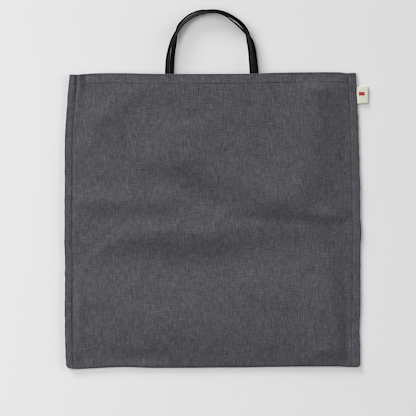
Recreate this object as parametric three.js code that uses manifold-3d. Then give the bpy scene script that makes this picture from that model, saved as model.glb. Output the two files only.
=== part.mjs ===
// A flat square tote bag of hand-woven cloth, lying on its back, with two leather strap handles.
// Millimetres. +Z is up, +Y runs from the bottom fold to the mouth, +X to the labelled side.
import * as THREE from "three";
import { mergeVertices } from "three/addons/utils/BufferGeometryUtils.js";
import Module from "manifold-3d";

// The cloth body.
const bagWidth = 380;
const bagHeight = 378;
const bagDepth = 12; // highest point of the front above the surface it lies on
const clothThickness = 1.0;
const cornerRadius = 5;
const foldRadius = 2; // rounding of the bottom fold and of the flange edges
const backLipWidth = 40; // margin of the back that curls up off the surface
const bellyRun = 105; // the front is full this far from the bottom fold
const bellySquareness = 4; // exponent across the front: higher is flatter on top
const creaseMargin = 17; // creases of the front fade out this close to the seams
const seamAllowance = 10; // flange outside each side seam
const flangeThickness = 3.2;
const flangeHeight = 2.4; // middle of the flange above the surface
const seamThickness = 2.5; // where the stitches pull front and back together
const seamGroove = 2.5; // distance from the stitches at which the flange is full again

// The hem turned into the mouth.
const hemDepth = 13;
const hemThickness = 1.2;
const hemEndInset = 9; // from each side seam to the end of the hem

// The two handles, each a flat leather strap bent into a hoop.
const strapWidth = 5.6;
const strapThickness = 1.5;
const strapBevel = 0.5; // width of the bevel along both edges of a strap
const strapEdgeShare = 0.5; // thickness left at its edges, as a share of the full one
const handleSpan = 108.2; // between the middles of the two legs
const handleRise = 79.6; // from the mouth to the middle of the straps at the top
const handleMiddle = -1.9; // where the handles' middle lies across the bag
const archCrown = 2.25; // exponents of the arch: both are 2 in an ellipse, and a larger
const archLegs = 2.54; // second one makes the legs straighter
const handleStagger = 3.1; // the front handle sits this much left, the back one right
const strapInsertion = 9; // length of strap inside the hem
const strapSteps = 56; // sections of a strap along its hoop
const pocketRamp = 6; // cloth that slopes down beside the straps in the hem

// The label in the right side seam.
const labelWidth = 22;
const labelReach = 14.5;
const labelRoot = 4; // caught inside the flange
const labelThickness = 1.0;
const labelRise = 0.926; // share of the height, to the label's middle

const clearance = 0.3; // between pieces that touch
const edgeShare = 0.33; // thickness left at a rounded edge, as a share of the full one

// Side edges: inset from the full width as a share of it, at shares of the height.
const sideOutline = [
  { rise: 0, left: 0.004, right: 0.001 },
  { rise: 0.05, left: 0.003, right: 0.001 },
  { rise: 0.13, left: 0, right: 0.0027 },
  { rise: 0.2, left: 0, right: 0 },
  { rise: 0.38, left: 0.001, right: 0 },
  { rise: 0.43, left: -0.0015, right: -0.0016 },
  { rise: 0.47, left: -0.0005, right: -0.0027 },
  { rise: 0.51, left: -0.001, right: 0.0004 },
  { rise: 0.62, left: 0, right: 0.0014 },
  { rise: 0.78, left: 0.0003, right: 0.0055 },
  { rise: 0.84, left: 0.0037, right: 0.0078 },
  { rise: 0.92, left: 0.0095, right: 0.0108 },
  { rise: 1, left: 0.0156, right: 0.0159 },
];

// Mouth and bottom lines: how far they lie below a straight line, as a share of the height,
// at shares of the width counted from the left edge.
const endOutline = [
  { across: 0, mouth: 0.002, bottom: 0.001 },
  { across: 0.04, mouth: 0.004, bottom: 0.005 },
  { across: 0.1, mouth: 0, bottom: 0.002 },
  { across: 0.2, mouth: -0.0003, bottom: -0.002 },
  { across: 0.3, mouth: 0.002, bottom: 0.001 },
  { across: 0.6, mouth: 0.002, bottom: -0.0007 },
  { across: 0.72, mouth: -0.0015, bottom: -0.0025 },
  { across: 0.92, mouth: -0.004, bottom: -0.004 },
  { across: 0.96, mouth: -0.0015, bottom: -0.002 },
  { across: 1, mouth: -0.004, bottom: -0.001 },
];

// Folds of the front: a line from one place to another, as shares of the width and the height,
// with its depth as a share of the bag's depth and its half width as a share of the width.
// A negative depth is a ridge.
const folds = [
  { x0: 1.0, y0: 0.508, x1: 0.83, y1: 0.517, depth: 0.2, spread: 0.022 },
  { x0: 0.83, y0: 0.517, x1: 0.64, y1: 0.54, depth: 0.1, spread: 0.032 },
  { x0: 0.0, y0: 0.434, x1: 0.12, y1: 0.48, depth: 0.18, spread: 0.022 },
  { x0: 0.12, y0: 0.48, x1: 0.27, y1: 0.545, depth: 0.08, spread: 0.03 },
  { x0: 0.0, y0: 0.565, x1: 0.26, y1: 0.545, depth: 0.1, spread: 0.026 },
  { x0: 0.15, y0: 0.455, x1: 0.85, y1: 0.462, depth: -0.12, spread: 0.034 },
  { x0: 0.34, y0: 0.7, x1: 0.53, y1: 0.59, depth: 0.1, spread: 0.04 },
  { x0: 0.87, y0: 0.93, x1: 0.905, y1: 0.61, depth: 0.12, spread: 0.04 },
  { x0: 0.9, y0: 0.36, x1: 0.955, y1: 0.04, depth: 0.12, spread: 0.035 },
  { x0: 0.14, y0: 0.075, x1: 0.23, y1: 0.05, depth: 0.1, spread: 0.025 },
  { x0: 0.1, y0: 0.71, x1: 0.125, y1: 0.64, depth: 0.1, spread: 0.024 },
];

// The straps from the left leg (0) to the right leg (1). Aside is how far outside the plain hoop
// a strap lies and high is the height of its middle above the surface, both in strap widths.
// Turn is how far its inner edge is turned up, in degrees, where 0 is flat and 90 on edge.
// Towards the legs the height passes over to that of the hem's pockets.
const frontCourse = [
  { along: 0, aside: 0, turn: 0, high: 1.95 },
  { along: 0.03, aside: -0.04, turn: 38, high: 1.97 },
  { along: 0.09, aside: -0.04, turn: 64, high: 2 },
  { along: 0.15, aside: -0.05, turn: 58, high: 2.04 },
  { along: 0.2, aside: -0.03, turn: 52, high: 2.06 },
  { along: 0.24, aside: -0.05, turn: 54, high: 1.96 },
  { along: 0.3, aside: -0.14, turn: 58, high: 1.8 },
  { along: 0.38, aside: -0.27, turn: 58, high: 1.75 },
  { along: 0.45, aside: -0.14, turn: 52, high: 1.86 },
  { along: 0.5, aside: 0.02, turn: 48, high: 1.94 },
  { along: 0.56, aside: 0.02, turn: 50, high: 1.92 },
  { along: 0.66, aside: 0.07, turn: 55, high: 1.75 },
  { along: 0.72, aside: 0.27, turn: 52, high: 1.72 },
  { along: 0.77, aside: 0.5, turn: 25, high: 1.74 },
  { along: 0.81, aside: 0.24, turn: -10, high: 1.78 },
  { along: 0.85, aside: 0.02, turn: -45, high: 1.82 },
  { along: 0.91, aside: -0.08, turn: -50, high: 1.88 },
  { along: 0.96, aside: 0.09, turn: -42, high: 1.92 },
  { along: 1, aside: 0.25, turn: 0, high: 1.95 },
];
const backCourse = [
  { along: 0, aside: -0.1, turn: 0, high: 0.9 },
  { along: 0.03, aside: -0.14, turn: -10, high: 0.9 },
  { along: 0.09, aside: -0.27, turn: -38, high: 0.92 },
  { along: 0.15, aside: -0.26, turn: -50, high: 0.96 },
  { along: 0.2, aside: 0.16, turn: -64, high: 1 },
  { along: 0.24, aside: 0.52, turn: -80, high: 0.96 },
  { along: 0.3, aside: 0.52, turn: -86, high: 0.92 },
  { along: 0.38, aside: 0.5, turn: -88, high: 0.9 },
  { along: 0.45, aside: 0.4, turn: -88, high: 0.9 },
  { along: 0.5, aside: 0.12, turn: -88, high: 0.9 },
  { along: 0.56, aside: -0.26, turn: -88, high: 0.9 },
  { along: 0.62, aside: -0.46, turn: -88, high: 0.9 },
  { along: 0.66, aside: -0.71, turn: -88, high: 0.9 },
  { along: 0.72, aside: -0.63, turn: -86, high: 0.92 },
  { along: 0.77, aside: -0.44, turn: -82, high: 0.96 },
  { along: 0.81, aside: -0.19, turn: -72, high: 1 },
  { along: 0.85, aside: 0.02, turn: -54, high: 0.98 },
  { along: 0.91, aside: 0.16, turn: -36, high: 0.92 },
  { along: 0.96, aside: 0.1, turn: -22, high: 0.9 },
  { along: 1, aside: 0.2, turn: 0, high: 0.9 },
];
const handleCourse = { front: frontCourse, back: backCourse };

const colours = { cloth: 0x515055, hem: 0x57565b, leather: 0x0e0e10, label: 0xd9d7c6 };

const wasm = await Module();
wasm.setup();

const mix = (a, b, share) => a + (b - a) * share;
const clamp = (value, low, high) => Math.min(high, Math.max(low, value));

// 0 below the first value, 1 above the second and a smooth rise between them.
function ease(from, to, value) {
  const share = clamp((value - from) / (to - from), 0, 1);
  return share * share * (3 - 2 * share);
}

// A table's column read at a place between its rows, as a smooth curve through all of them.
function readTable(rows, key, column, place) {
  const after = Math.max(1, rows.findIndex((row, i) => row[key] > place || i === rows.length - 1));
  const [low, high] = [rows[after - 1], rows[after]];
  const slope = (i) => {
    const [before, next] = [rows[Math.max(i - 1, 0)], rows[Math.min(i + 1, rows.length - 1)]];
    return (next[column] - before[column]) / (next[key] - before[key]);
  };
  const span = high[key] - low[key];
  const share = clamp((place - low[key]) / span, 0, 1);
  const eased = share * share * (3 - 2 * share);
  const bend = share * (1 - share) * span;
  const bends = bend * ((1 - share) * slope(after - 1) - share * slope(after));
  return mix(low[column], high[column], eased) + bends;
}

// Places from one value to another, about a step apart.
function places(from, to, step) {
  const count = Math.max(1, Math.round((to - from) / step));
  return Array.from({ length: count + 1 }, (_, i) => mix(from, to, i / count));
}

// How far a place lies from the line of a fold.
function distanceToFold(x, y, fold) {
  const [ax, ay] = [fold.x0 * bagWidth, fold.y0 * bagHeight];
  const [dx, dy] = [fold.x1 * bagWidth - ax, fold.y1 * bagHeight - ay];
  const share = clamp(((x - ax) * dx + (y - ay) * dy) / (dx * dx + dy * dy), 0, 1);
  return Math.hypot(x - ax - dx * share, y - ay - dy * share);
}

// Across the bag, -1 and 1 are the side seams and -2 and 2 the outer edges of the flanges.
// Along it, 0 is the bottom fold and 1 the mouth.
function seamX(side, along) {
  const inset = readTable(sideOutline, "rise", side < 0 ? "left" : "right", along) * bagWidth;
  return side * (bagWidth / 2 - inset - seamAllowance);
}

function clothX(across, along) {
  if (Math.abs(across) <= 1) {
    return mix(seamX(-1, along), seamX(1, along), (across + 1) / 2);
  }
  const side = Math.sign(across);
  const up = Math.min(along * bagHeight, cornerRadius);
  const rounded = cornerRadius - Math.sqrt(cornerRadius ** 2 - (cornerRadius - up) ** 2);
  return seamX(side, along) + side * (Math.abs(across) - 1) * (seamAllowance - rounded);
}

function clothY(across, along) {
  const share = clothX(across, along) / bagWidth + 0.5;
  const bottom = -bagHeight / 2 - readTable(endOutline, "across", "bottom", share) * bagHeight;
  const mouth = bagHeight / 2 - readTable(endOutline, "across", "mouth", share) * bagHeight;
  return mix(bottom, mouth, along);
}

// The place across the bag of a given x at the mouth.
function acrossAtMouth(x) {
  return ((x - seamX(-1, 1)) / (seamX(1, 1) - seamX(-1, 1))) * 2 - 1;
}

// Rounding of the folded edges: the share of the full thickness, which at the very edge is small.
function roundedEdge(across, along) {
  const fromSide = (2 - Math.abs(across)) * seamAllowance;
  const fromEdge = Math.min(fromSide, along * bagHeight, foldRadius) / foldRadius;
  return mix(edgeShare, 1, Math.sqrt(1 - (1 - fromEdge) ** 2));
}

// Half the thickness where front and back are sewn or folded together.
function halfMeeting(across, along) {
  const outsideSeam = (Math.abs(across) - 1) * seamAllowance;
  const thickness = mix(seamThickness, flangeThickness, ease(0, seamGroove, outsideSeam));
  return (thickness / 2) * roundedEdge(across, along);
}

// Distance inwards from the nearer side seam, 0 on the flanges.
const insideSeam = (across) =>
  Math.max(0, 1 - Math.abs(across)) * (bagWidth / 2 - seamAllowance);

function foldDepth(across, along) {
  const x = clothX(across, along) + bagWidth / 2;
  const y = along * bagHeight;
  const fromHem = bagHeight - hemDepth - y;
  const fade =
    ease(0, creaseMargin, insideSeam(across)) *
    ease(0, creaseMargin, fromHem) *
    ease(0, 2 * creaseMargin, y);
  const deep = folds.reduce((sum, fold) => {
    const off = distanceToFold(x, y, fold) / (fold.spread * bagWidth);
    return sum + fold.depth * bagDepth * Math.exp(-off * off);
  }, 0);
  return deep * fade;
}

// Heights of the outside of the front and of the back.
function frontHeight(across, along) {
  const closed = flangeHeight + halfMeeting(across, along);
  const open = 1 - Math.min(1, Math.abs(across)) ** bellySquareness;
  const full = 1 - (1 - Math.min(1, (along * bagHeight) / bellyRun)) ** 3;
  return closed + (bagDepth - closed) * open * full - foldDepth(across, along);
}

function backHeight(across, along) {
  const flat =
    ease(0, backLipWidth, insideSeam(across)) * ease(0, backLipWidth, along * bagHeight);
  return (flangeHeight - halfMeeting(across, along)) * (1 - flat);
}

const clothPoint = (across, along, height) =>
  new THREE.Vector3(clothX(across, along), clothY(across, along), height);

// A closed solid between an upper and a lower surface, over one grid of places.
function slab(acrossPlaces, alongPlaces, upper, lower) {
  const count = acrossPlaces.length;
  const rings = alongPlaces.map((along) => [
    ...acrossPlaces.map((across) => upper(across, along)),
    ...acrossPlaces.map((across) => lower(across, along)).reverse(),
  ]);
  const corners = [];
  const quad = (a, b, c, d) => corners.push(a, b, c, a, c, d);
  for (let j = 1; j < rings.length; j++) {
    const [low, high] = [rings[j - 1], rings[j]];
    low.forEach((corner, i) => {
      const next = (i + 1) % low.length;
      quad(corner, low[next], high[next], high[i]);
    });
  }
  const [first, last] = [rings[0], rings.at(-1)];
  for (let i = 1; i < count; i++) {
    const [below, belowBefore] = [2 * count - 1 - i, 2 * count - i];
    quad(first[i - 1], first[belowBefore], first[below], first[i]);
    quad(last[i - 1], last[i], last[below], last[belowBefore]);
  }
  return new THREE.BufferGeometry().setFromPoints(corners);
}

// Between a three.js geometry and a solid that can be cut or joined.
function toSolid(geometry) {
  const plain = geometry.clone();
  plain.deleteAttribute("normal");
  plain.deleteAttribute("uv");
  const merged = mergeVertices(plain, 1e-4);
  const vertProperties = new Float32Array(merged.attributes.position.array);
  const triVerts = new Uint32Array(merged.index.array);
  return new wasm.Manifold(new wasm.Mesh({ numProp: 3, vertProperties, triVerts }));
}

function toGeometry(solid) {
  const mesh = solid.getMesh();
  const geometry = new THREE.BufferGeometry();
  geometry.setAttribute("position", new THREE.BufferAttribute(mesh.vertProperties, 3));
  geometry.setIndex(new THREE.BufferAttribute(mesh.triVerts, 1));
  return geometry.toNonIndexed();
}

// Grid of the cloth: closer beside the seams, at the bottom fold and over the middle creases.
const hemLine = 1 - hemDepth / bagHeight;
const flangePlaces = [2, 1.93, 1.8, 1.5, 1.15, 1];
const bellyPlaces = [-0.98, -0.945, ...places(-0.9, 0.9, 0.082), 0.945, 0.98];
const outerPlaces = [
  ...flangePlaces.map((place) => -place),
  ...bellyPlaces,
  ...flangePlaces.toReversed(),
];
const bottomPlaces = [0, 0.3, 1, 2.5].map((radii) => (radii * foldRadius) / bagHeight);
const risePlaces = [
  ...places(0.035, 0.4, 0.046),
  ...places(0.418, 0.583, 0.0184),
  ...places(0.625, hemLine, 0.048),
  1,
];

function clothBody() {
  const outside = slab(
    outerPlaces,
    [...bottomPlaces, ...risePlaces],
    (across, along) => clothPoint(across, along, frontHeight(across, along)),
    (across, along) => clothPoint(across, along, backHeight(across, along)),
  );
  const pastMouth = 1 + (2 * clothThickness) / bagHeight;
  const inside = slab(
    bellyPlaces,
    [bottomPlaces.at(-1), ...risePlaces, pastMouth],
    (across, along) => clothPoint(across, along, frontHeight(across, along) - clothThickness),
    (across, along) => clothPoint(across, along, backHeight(across, along) + clothThickness),
  );
  const slot = labelSlab(clearance);
  return toGeometry(toSolid(outside).subtract(toSolid(inside)).subtract(toSolid(slot)));
}

// Middle of a handle's leg at the mouth.
function legX(layer, side) {
  const stagger = layer === "front" ? -handleStagger : handleStagger;
  const leg = side < 0 ? handleCourse[layer][0] : handleCourse[layer].at(-1);
  return handleMiddle + stagger + side * (handleSpan / 2 + leg.aside * strapWidth);
}

// Room between the hem and the wall: a strap's thickness where the straps go in.
const pocketHalf = strapWidth / 2 + clearance;

function pocket(layer, x) {
  const beside = Math.min(...[-1, 1].map((side) => Math.abs(x - legX(layer, side))));
  const deep = 1 - ease(pocketHalf, pocketHalf + pocketRamp, beside);
  return clearance + (strapThickness + clearance) * deep;
}

function hemBand(layer) {
  const ends = [-1, 1].map((side) => acrossAtMouth(seamX(side, 1) - side * hemEndInset));
  const reaches = [pocketHalf, pocketHalf + pocketRamp / 2, pocketHalf + pocketRamp];
  const offsets = [...reaches.map((reach) => -reach), 0, ...reaches];
  const atLegs = [-1, 1].flatMap((side) =>
    offsets.map((offset) => acrossAtMouth(legX(layer, side) + offset)),
  );
  const closest = 0.02;
  const apart = (place) => [...ends, ...atLegs].every((other) => Math.abs(other - place) > closest);
  const between = bellyPlaces.filter((place) => place > ends[0] && place < ends[1] && apart(place));
  const across = [...ends, ...atLegs, ...between].sort((a, b) => a - b);
  const along = [hemLine, (1 + hemLine) / 2, 1 - clearance / bagHeight];
  const room = (u, v) => frontHeight(u, v) - backHeight(u, v) - 2 * clothThickness;
  const thick = (u, v) => Math.min(hemThickness, (room(u, v) - 3 * clearance) / 2);
  const outer = (u, v) =>
    layer === "front"
      ? frontHeight(u, v) - clothThickness - pocket(layer, clothX(u, v))
      : backHeight(u, v) + clothThickness + pocket(layer, clothX(u, v)) + thick(u, v);
  return slab(
    across,
    along,
    (u, v) => clothPoint(u, v, outer(u, v)),
    (u, v) => clothPoint(u, v, outer(u, v) - thick(u, v)),
  );
}

// Height of a strap's middle inside the hem, in its pocket.
function pocketHeight(layer, side) {
  const across = acrossAtMouth(legX(layer, side));
  const fromOutside = clothThickness + clearance + strapThickness / 2;
  return layer === "front"
    ? frontHeight(across, 1) - fromOutside
    : backHeight(across, 1) + fromOutside;
}

// The plain hoop in plan, from the left leg (0) to the right leg (1), and its rise there as a
// share of the full rise.
function hoopRise(along) {
  return Math.sin(Math.PI * along) ** (2 / archLegs);
}

function hoopPlan(layer, along) {
  const stagger = layer === "front" ? -handleStagger : handleStagger;
  const sideways = -Math.cos(Math.PI * along);
  const rise = hoopRise(along);
  const bow = Math.sign(sideways) * Math.abs(sideways) ** (2 / archCrown);
  const x = handleMiddle + stagger * ease(1, 0, rise) + (handleSpan / 2) * bow;
  const mouth = clothY(acrossAtMouth(x), 1);
  return new THREE.Vector3(x, mix(mouth, bagHeight / 2, rise) + handleRise * rise, 0);
}

// Where a strap lies at a place along its hoop: its middle, the direction across its width and
// the one out of its face.
function strapSection(layer, along) {
  const read = (name) => readTable(handleCourse[layer], "along", name, along);
  const nearby = 0.004; // a step along the hoop, short enough to give its direction
  const behind = hoopPlan(layer, Math.max(0, along - nearby));
  const heading = hoopPlan(layer, Math.min(1, along + nearby)).sub(behind).normalize();
  const inward = new THREE.Vector3(heading.y, -heading.x, 0);
  const turn = THREE.MathUtils.degToRad(read("turn"));
  const inPocket = pocketHeight(layer, along < 0.5 ? -1 : 1);
  const middle = hoopPlan(layer, along).addScaledVector(inward, -read("aside") * strapWidth);
  middle.z = mix(inPocket, read("high") * strapWidth, ease(0, 1, hoopRise(along)));
  return { middle, flat: inward.clone().applyAxisAngle(heading, -turn), heading };
}

function strap(layer) {
  const closerAtLegs = 0.7;
  const loop = places(0, 1, 1 / strapSteps).map((share) =>
    strapSection(layer, mix(share, ease(0, 1, share), closerAtLegs)),
  );
  const inHem = (end) => ({
    ...end,
    middle: end.middle.clone().add(new THREE.Vector3(0, -strapInsertion, 0)),
  });
  const half = strapWidth / 2;
  const surface = (side) => (across, { middle, flat, heading }) => {
    const bevelled = ease(half, half - strapBevel, Math.abs(across));
    const thick = strapThickness * mix(strapEdgeShare, 1, bevelled);
    const face = flat.clone().cross(heading);
    return middle
      .clone()
      .addScaledVector(flat, across)
      .addScaledVector(face, (side * thick) / 2);
  };
  return slab(
    [-half, strapBevel - half, half - strapBevel, half],
    [inHem(loop[0]), ...loop, inHem(loop.at(-1))],
    surface(1),
    surface(-1),
  );
}

// The label's tape, folded double, or the slot for it with some room round it.
function labelSlab(room) {
  const middle = -bagHeight / 2 + labelRise * bagHeight;
  const half = labelWidth / 2 + room;
  const edge = clothX(2, labelRise);
  const xs = [-labelRoot - room, 0.5, labelReach / 2, labelReach].map((reach) => edge + reach);
  const droop = (x) => flangeHeight - 0.5 * labelThickness * ease(edge, edge + labelReach, x);
  const point = (x, y, lift) => new THREE.Vector3(x, y, droop(x) + lift);
  const thick = labelThickness / 2 + room;
  return slab(
    xs,
    [middle - half, middle + half],
    (x, y) => point(x, y, thick),
    (x, y) => point(x, y, -thick),
  );
}

function piece(name, geometry, colour, roughness) {
  const material = new THREE.MeshStandardMaterial({ color: colour, roughness, metalness: 0 });
  geometry.computeVertexNormals();
  const mesh = new THREE.Mesh(geometry, material);
  mesh.name = name;
  return mesh;
}

const clothRoughness = 0.9;
const leatherRoughness = 0.3;
const bag = new THREE.Group();
bag.add(piece("cloth_body", clothBody(), colours.cloth, clothRoughness));
for (const layer of ["front", "back"]) {
  bag.add(piece(`mouth_hem_${layer}`, hemBand(layer), colours.hem, clothRoughness));
  bag.add(piece(`${layer}_handle`, strap(layer), colours.leather, leatherRoughness));
}
bag.add(piece("side_label", labelSlab(0), colours.label, clothRoughness));

// The origin is the middle of the whole bag's footprint, on the surface it lies on.
const bounds = new THREE.Box3().setFromObject(bag);
const middle = bounds.getCenter(new THREE.Vector3());
bag.position.set(-middle.x, -middle.y, -bounds.min.z);

export default bag;
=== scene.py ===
import math
import bmesh
import bpy
import numpy as np
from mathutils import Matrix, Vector


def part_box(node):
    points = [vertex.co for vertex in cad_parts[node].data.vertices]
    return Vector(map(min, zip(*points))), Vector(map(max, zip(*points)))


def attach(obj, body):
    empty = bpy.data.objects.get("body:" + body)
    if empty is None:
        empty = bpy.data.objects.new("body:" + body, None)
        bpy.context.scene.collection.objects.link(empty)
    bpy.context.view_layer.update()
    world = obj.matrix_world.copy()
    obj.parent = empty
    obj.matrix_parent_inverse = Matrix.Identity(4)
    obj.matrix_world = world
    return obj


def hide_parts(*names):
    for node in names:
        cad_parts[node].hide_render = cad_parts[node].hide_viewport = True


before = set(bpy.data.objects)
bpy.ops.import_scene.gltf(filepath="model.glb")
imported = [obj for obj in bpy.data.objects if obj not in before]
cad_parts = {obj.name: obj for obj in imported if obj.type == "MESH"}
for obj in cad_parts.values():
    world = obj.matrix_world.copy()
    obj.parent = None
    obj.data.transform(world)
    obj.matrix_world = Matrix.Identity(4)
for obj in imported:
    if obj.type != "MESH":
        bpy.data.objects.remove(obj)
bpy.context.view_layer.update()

mm = 0.001

# the camera looks straight down from far off; the picture is 535 mm wide at the cloth's edges
camera = dict(x=-10.64, y=-23.93, height=2975.3, lens=200, sensor=36)

cameraData = bpy.data.cameras.new("camera")
cameraData.lens = camera["lens"]
cameraData.sensor_width = camera["sensor"]
cameraObject = bpy.data.objects.new("camera", cameraData)
cameraObject.location = (camera["x"] * mm, camera["y"] * mm, camera["height"] * mm)
bpy.context.collection.objects.link(cameraObject)
bpy.context.scene.camera = cameraObject

# the bag, in millimetres: 0, 0 is the middle of the cloth, y runs to the mouth
bag = dict(
    width=380,
    height=378,
    depth=12,
    clothThickness=1.0,
    cornerRadius=5,
    foldRadius=2,
    backLipWidth=40,
    bellyRun=105,
    bellySquareness=4,
    creaseMargin=12,
    seamAllowance=10,
    flangeThickness=3.2,
    flangeHeight=2.4,
    seamThickness=2.5,
    seamGroove=2.5,
)
hem = dict(depth=13, innerDepth=14.6, thickness=1.2, rimRound=1.25, raised=0.5, groove=0.55, clearance=0.3)
handle = dict(
    strapWidth=5.6,
    strapThickness=1.5,
    span=108.2,
    rise=79.6,
    middle=-1.9,
    archCrown=2.25,
    archLegs=2.54,
    stagger=3.1,
    insertion=9,
    pocketRamp=6,
)

# side edges: inset from the full width as a share of it, at shares of the height
sideOutline = [
    dict(rise=0.0, left=0.004, right=0.001),
    dict(rise=0.05, left=0.003, right=0.001),
    dict(rise=0.13, left=0.0, right=0.0027),
    dict(rise=0.2, left=0.0, right=0.0),
    dict(rise=0.38, left=0.001, right=0.0),
    dict(rise=0.43, left=-0.0015, right=-0.0016),
    dict(rise=0.47, left=-0.0005, right=-0.0027),
    dict(rise=0.51, left=-0.001, right=0.0004),
    dict(rise=0.62, left=0.0, right=0.0014),
    dict(rise=0.78, left=0.0003, right=0.0055),
    dict(rise=0.84, left=0.0037, right=0.0078),
    dict(rise=0.92, left=0.0095, right=0.0108),
    dict(rise=1.0, left=0.0156, right=0.0159),
]

# mouth and bottom lines: how far they lie below a straight line, as a share of the height
endOutline = [
    dict(across=0.0, mouth=0.002, bottom=0.001),
    dict(across=0.04, mouth=0.004, bottom=0.005),
    dict(across=0.1, mouth=0.0, bottom=0.002),
    dict(across=0.2, mouth=-0.0003, bottom=-0.002),
    dict(across=0.3, mouth=0.002, bottom=0.001),
    dict(across=0.6, mouth=0.002, bottom=-0.0007),
    dict(across=0.72, mouth=-0.0015, bottom=-0.0025),
    dict(across=0.92, mouth=-0.004, bottom=-0.004),
    dict(across=0.96, mouth=-0.0015, bottom=-0.002),
    dict(across=1.0, mouth=-0.004, bottom=-0.001),
]

# folds of the front in millimetres: a line from one place to another, how deep it is at both
# ends (a ridge where that is negative) and how wide to the left and right of its heading
foldColumns = ("x0", "y0", "x1", "y1", "deep0", "deep1", "left", "right")
foldRows = [
    (-173, 25, -59, 22, -2.8, -1.4, 14, 11),
    (-72, 25, 3, 22, -0.7, 2.7, 22, 16),
    (-189, -49, -143, -2, -0.1, 1.5, 10, 18),
    (-169, -19, -125, -6, 0.7, -0.3, 5, 5),
    (-167, -46, -105, 3, 1.1, 0.8, 7, 7),
    (-127, -14, 5, -16, -1.1, -2.1, 8, 17),
    (-30, -62, 86, -30, 1.1, 2.5, 26, 30),
    (-148, -41, -53, -7, -0.7, -0.9, 12, 10),
    (-56, -28, -1, -40, -1.1, -1.2, 28, 15),
    (173, -8, 140, 4, 1, -1.1, 6, 25),
    (131, -2, 32, 2, 1, 1.4, 8, 10),
    (119, 8, 167, 5, -0.6, -1.2, 10, 5),
    (-88, 80, -25, 80, -1.3, -1.4, 13, 18),
    (-61, 89, 71, 28, -2, -3.7, 30, 18),
    (1, -6, 17, -11, -1.3, -0.2, 12, 30),
    (-81, 51, -20, 41, 1.1, 1.6, 14, 13),
    (-156, 67, -140, 36, -0.7, 0.8, 13, 4),
    (-147, 129, -83, 178, -2.3, -1, 15, 15),
    (131, 171, 129, 64, -2, -1.8, 19, 21),
    (108, 32, 147, -3, -2.2, -0.6, 30, 30),
    (149, -58, 162, -166, -1.3, -2.2, 7, 30),
    (172, -70, 177, -178, 0.9, 2.5, 30, 7),
    (125, -95, 138, -185, -1.3, -2, 30, 9),
    (-167, -185, -82, -186, 1.7, 4.7, 14, 28),
    (-150, -104, -152, -115, -0.6, 0.2, 22, 7),
    (-174, -79, -174, -215, -2.3, -0.9, 9, 9),
    (-69, -126, 71, -151, -2.9, -1.2, 25, 30),
    (-81, 119, -22, 133, -0.2, 0.6, 7, 7),
    (-37, 112, 33, 102, -3.1, 0.1, 18, 30),
    (-189, 102, -170, 89, 0.6, -1.5, 30, 5),
    (-113, 110, -103, 26, 1.5, -1, 23, 6),
    (133, 181, 111, 26, -2.1, -3.5, 30, 30),
    (176, 130, 169, 94, 0.4, 1.2, 19, 23),
    (-178, -104, -44, -57, -1.5, 1, 29, 30),
    (54, -88, 155, -120, -0.3, -1, 18, 13),
    (83, 3, 149, 9, 0.9, -1.2, 10, 12),
    (-160, 94, -152, 62, -1.1, -0.8, 8, 7),
    (-131, -50, 118, -53, 2.9, 2.1, 22, 30),
]
folds = [dict(zip(foldColumns, row)) for row in foldRows]
foldGain = 1.5  # all the folds deeper or flatter at once

# the straps from the left leg (0) to the right leg (1): how far outside the plain hoop and how
# high they lie, in strap widths, and how far their inner edge is turned up, in degrees
frontCourse = [
    dict(along=0, aside=-0.17, turn=0, high=1.95),
    dict(along=0.03, aside=-0.19, turn=5, high=1.95),
    dict(along=0.09, aside=-0.09, turn=49, high=1.9),
    dict(along=0.15, aside=-0.11, turn=43, high=1.82),
    dict(along=0.2, aside=-0.19, turn=37, high=1.72),
    dict(along=0.24, aside=-0.2, turn=38, high=1.6),
    dict(along=0.3, aside=-0.2, turn=38, high=1.35),
    dict(along=0.38, aside=-0.19, turn=38, high=1.28),
    dict(along=0.45, aside=-0.12, turn=36, high=1.42),
    dict(along=0.5, aside=0.01, turn=35, high=1.55),
    dict(along=0.56, aside=0, turn=38, high=1.55),
    dict(along=0.66, aside=0.01, turn=43, high=1.38),
    dict(along=0.72, aside=0.22, turn=38, high=1.38),
    dict(along=0.77, aside=0.34, turn=20, high=1.5),
    dict(along=0.81, aside=0.37, turn=-4, high=1.6),
    dict(along=0.85, aside=0.14, turn=-16, high=1.72),
    dict(along=0.91, aside=0.01, turn=-33, high=1.86),
    dict(along=0.96, aside=0.09, turn=-8, high=1.92),
    dict(along=1, aside=0.25, turn=0, high=1.95),
]
backCourse = [
    dict(along=0, aside=-0.05, turn=0, high=0.8),
    dict(along=0.03, aside=-0.13, turn=-4, high=0.76),
    dict(along=0.09, aside=-0.22, turn=-16, high=0.74),
    dict(along=0.15, aside=-0.24, turn=-38, high=0.7),
    dict(along=0.2, aside=0.12, turn=-62, high=0.66),
    dict(along=0.24, aside=0.5, turn=-78, high=0.62),
    dict(along=0.3, aside=0.53, turn=-86, high=0.6),
    dict(along=0.38, aside=0.52, turn=-88, high=0.6),
    dict(along=0.45, aside=0.42, turn=-88, high=0.6),
    dict(along=0.5, aside=0.12, turn=-88, high=0.6),
    dict(along=0.56, aside=-0.26, turn=-88, high=0.6),
    dict(along=0.62, aside=-0.5, turn=-88, high=0.6),
    dict(along=0.66, aside=-0.71, turn=-88, high=0.6),
    dict(along=0.72, aside=-0.66, turn=-86, high=0.6),
    dict(along=0.77, aside=-0.46, turn=-82, high=0.62),
    dict(along=0.81, aside=-0.1, turn=-70, high=0.66),
    dict(along=0.85, aside=0.2, turn=-42, high=0.7),
    dict(along=0.91, aside=0.16, turn=-26, high=0.74),
    dict(along=0.96, aside=0.07, turn=-12, high=0.78),
    dict(along=1, aside=0.17, turn=0, high=0.8),
]
course = dict(front=frontCourse, back=backCourse)


def mix(a, b, share):
    return a + (b - a) * share


def ease(start, end, value):  # 0 before start, 1 after end, a smooth rise between
    share = np.clip((value - start) / (end - start), 0, 1)
    return share * share * (3 - 2 * share)


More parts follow.
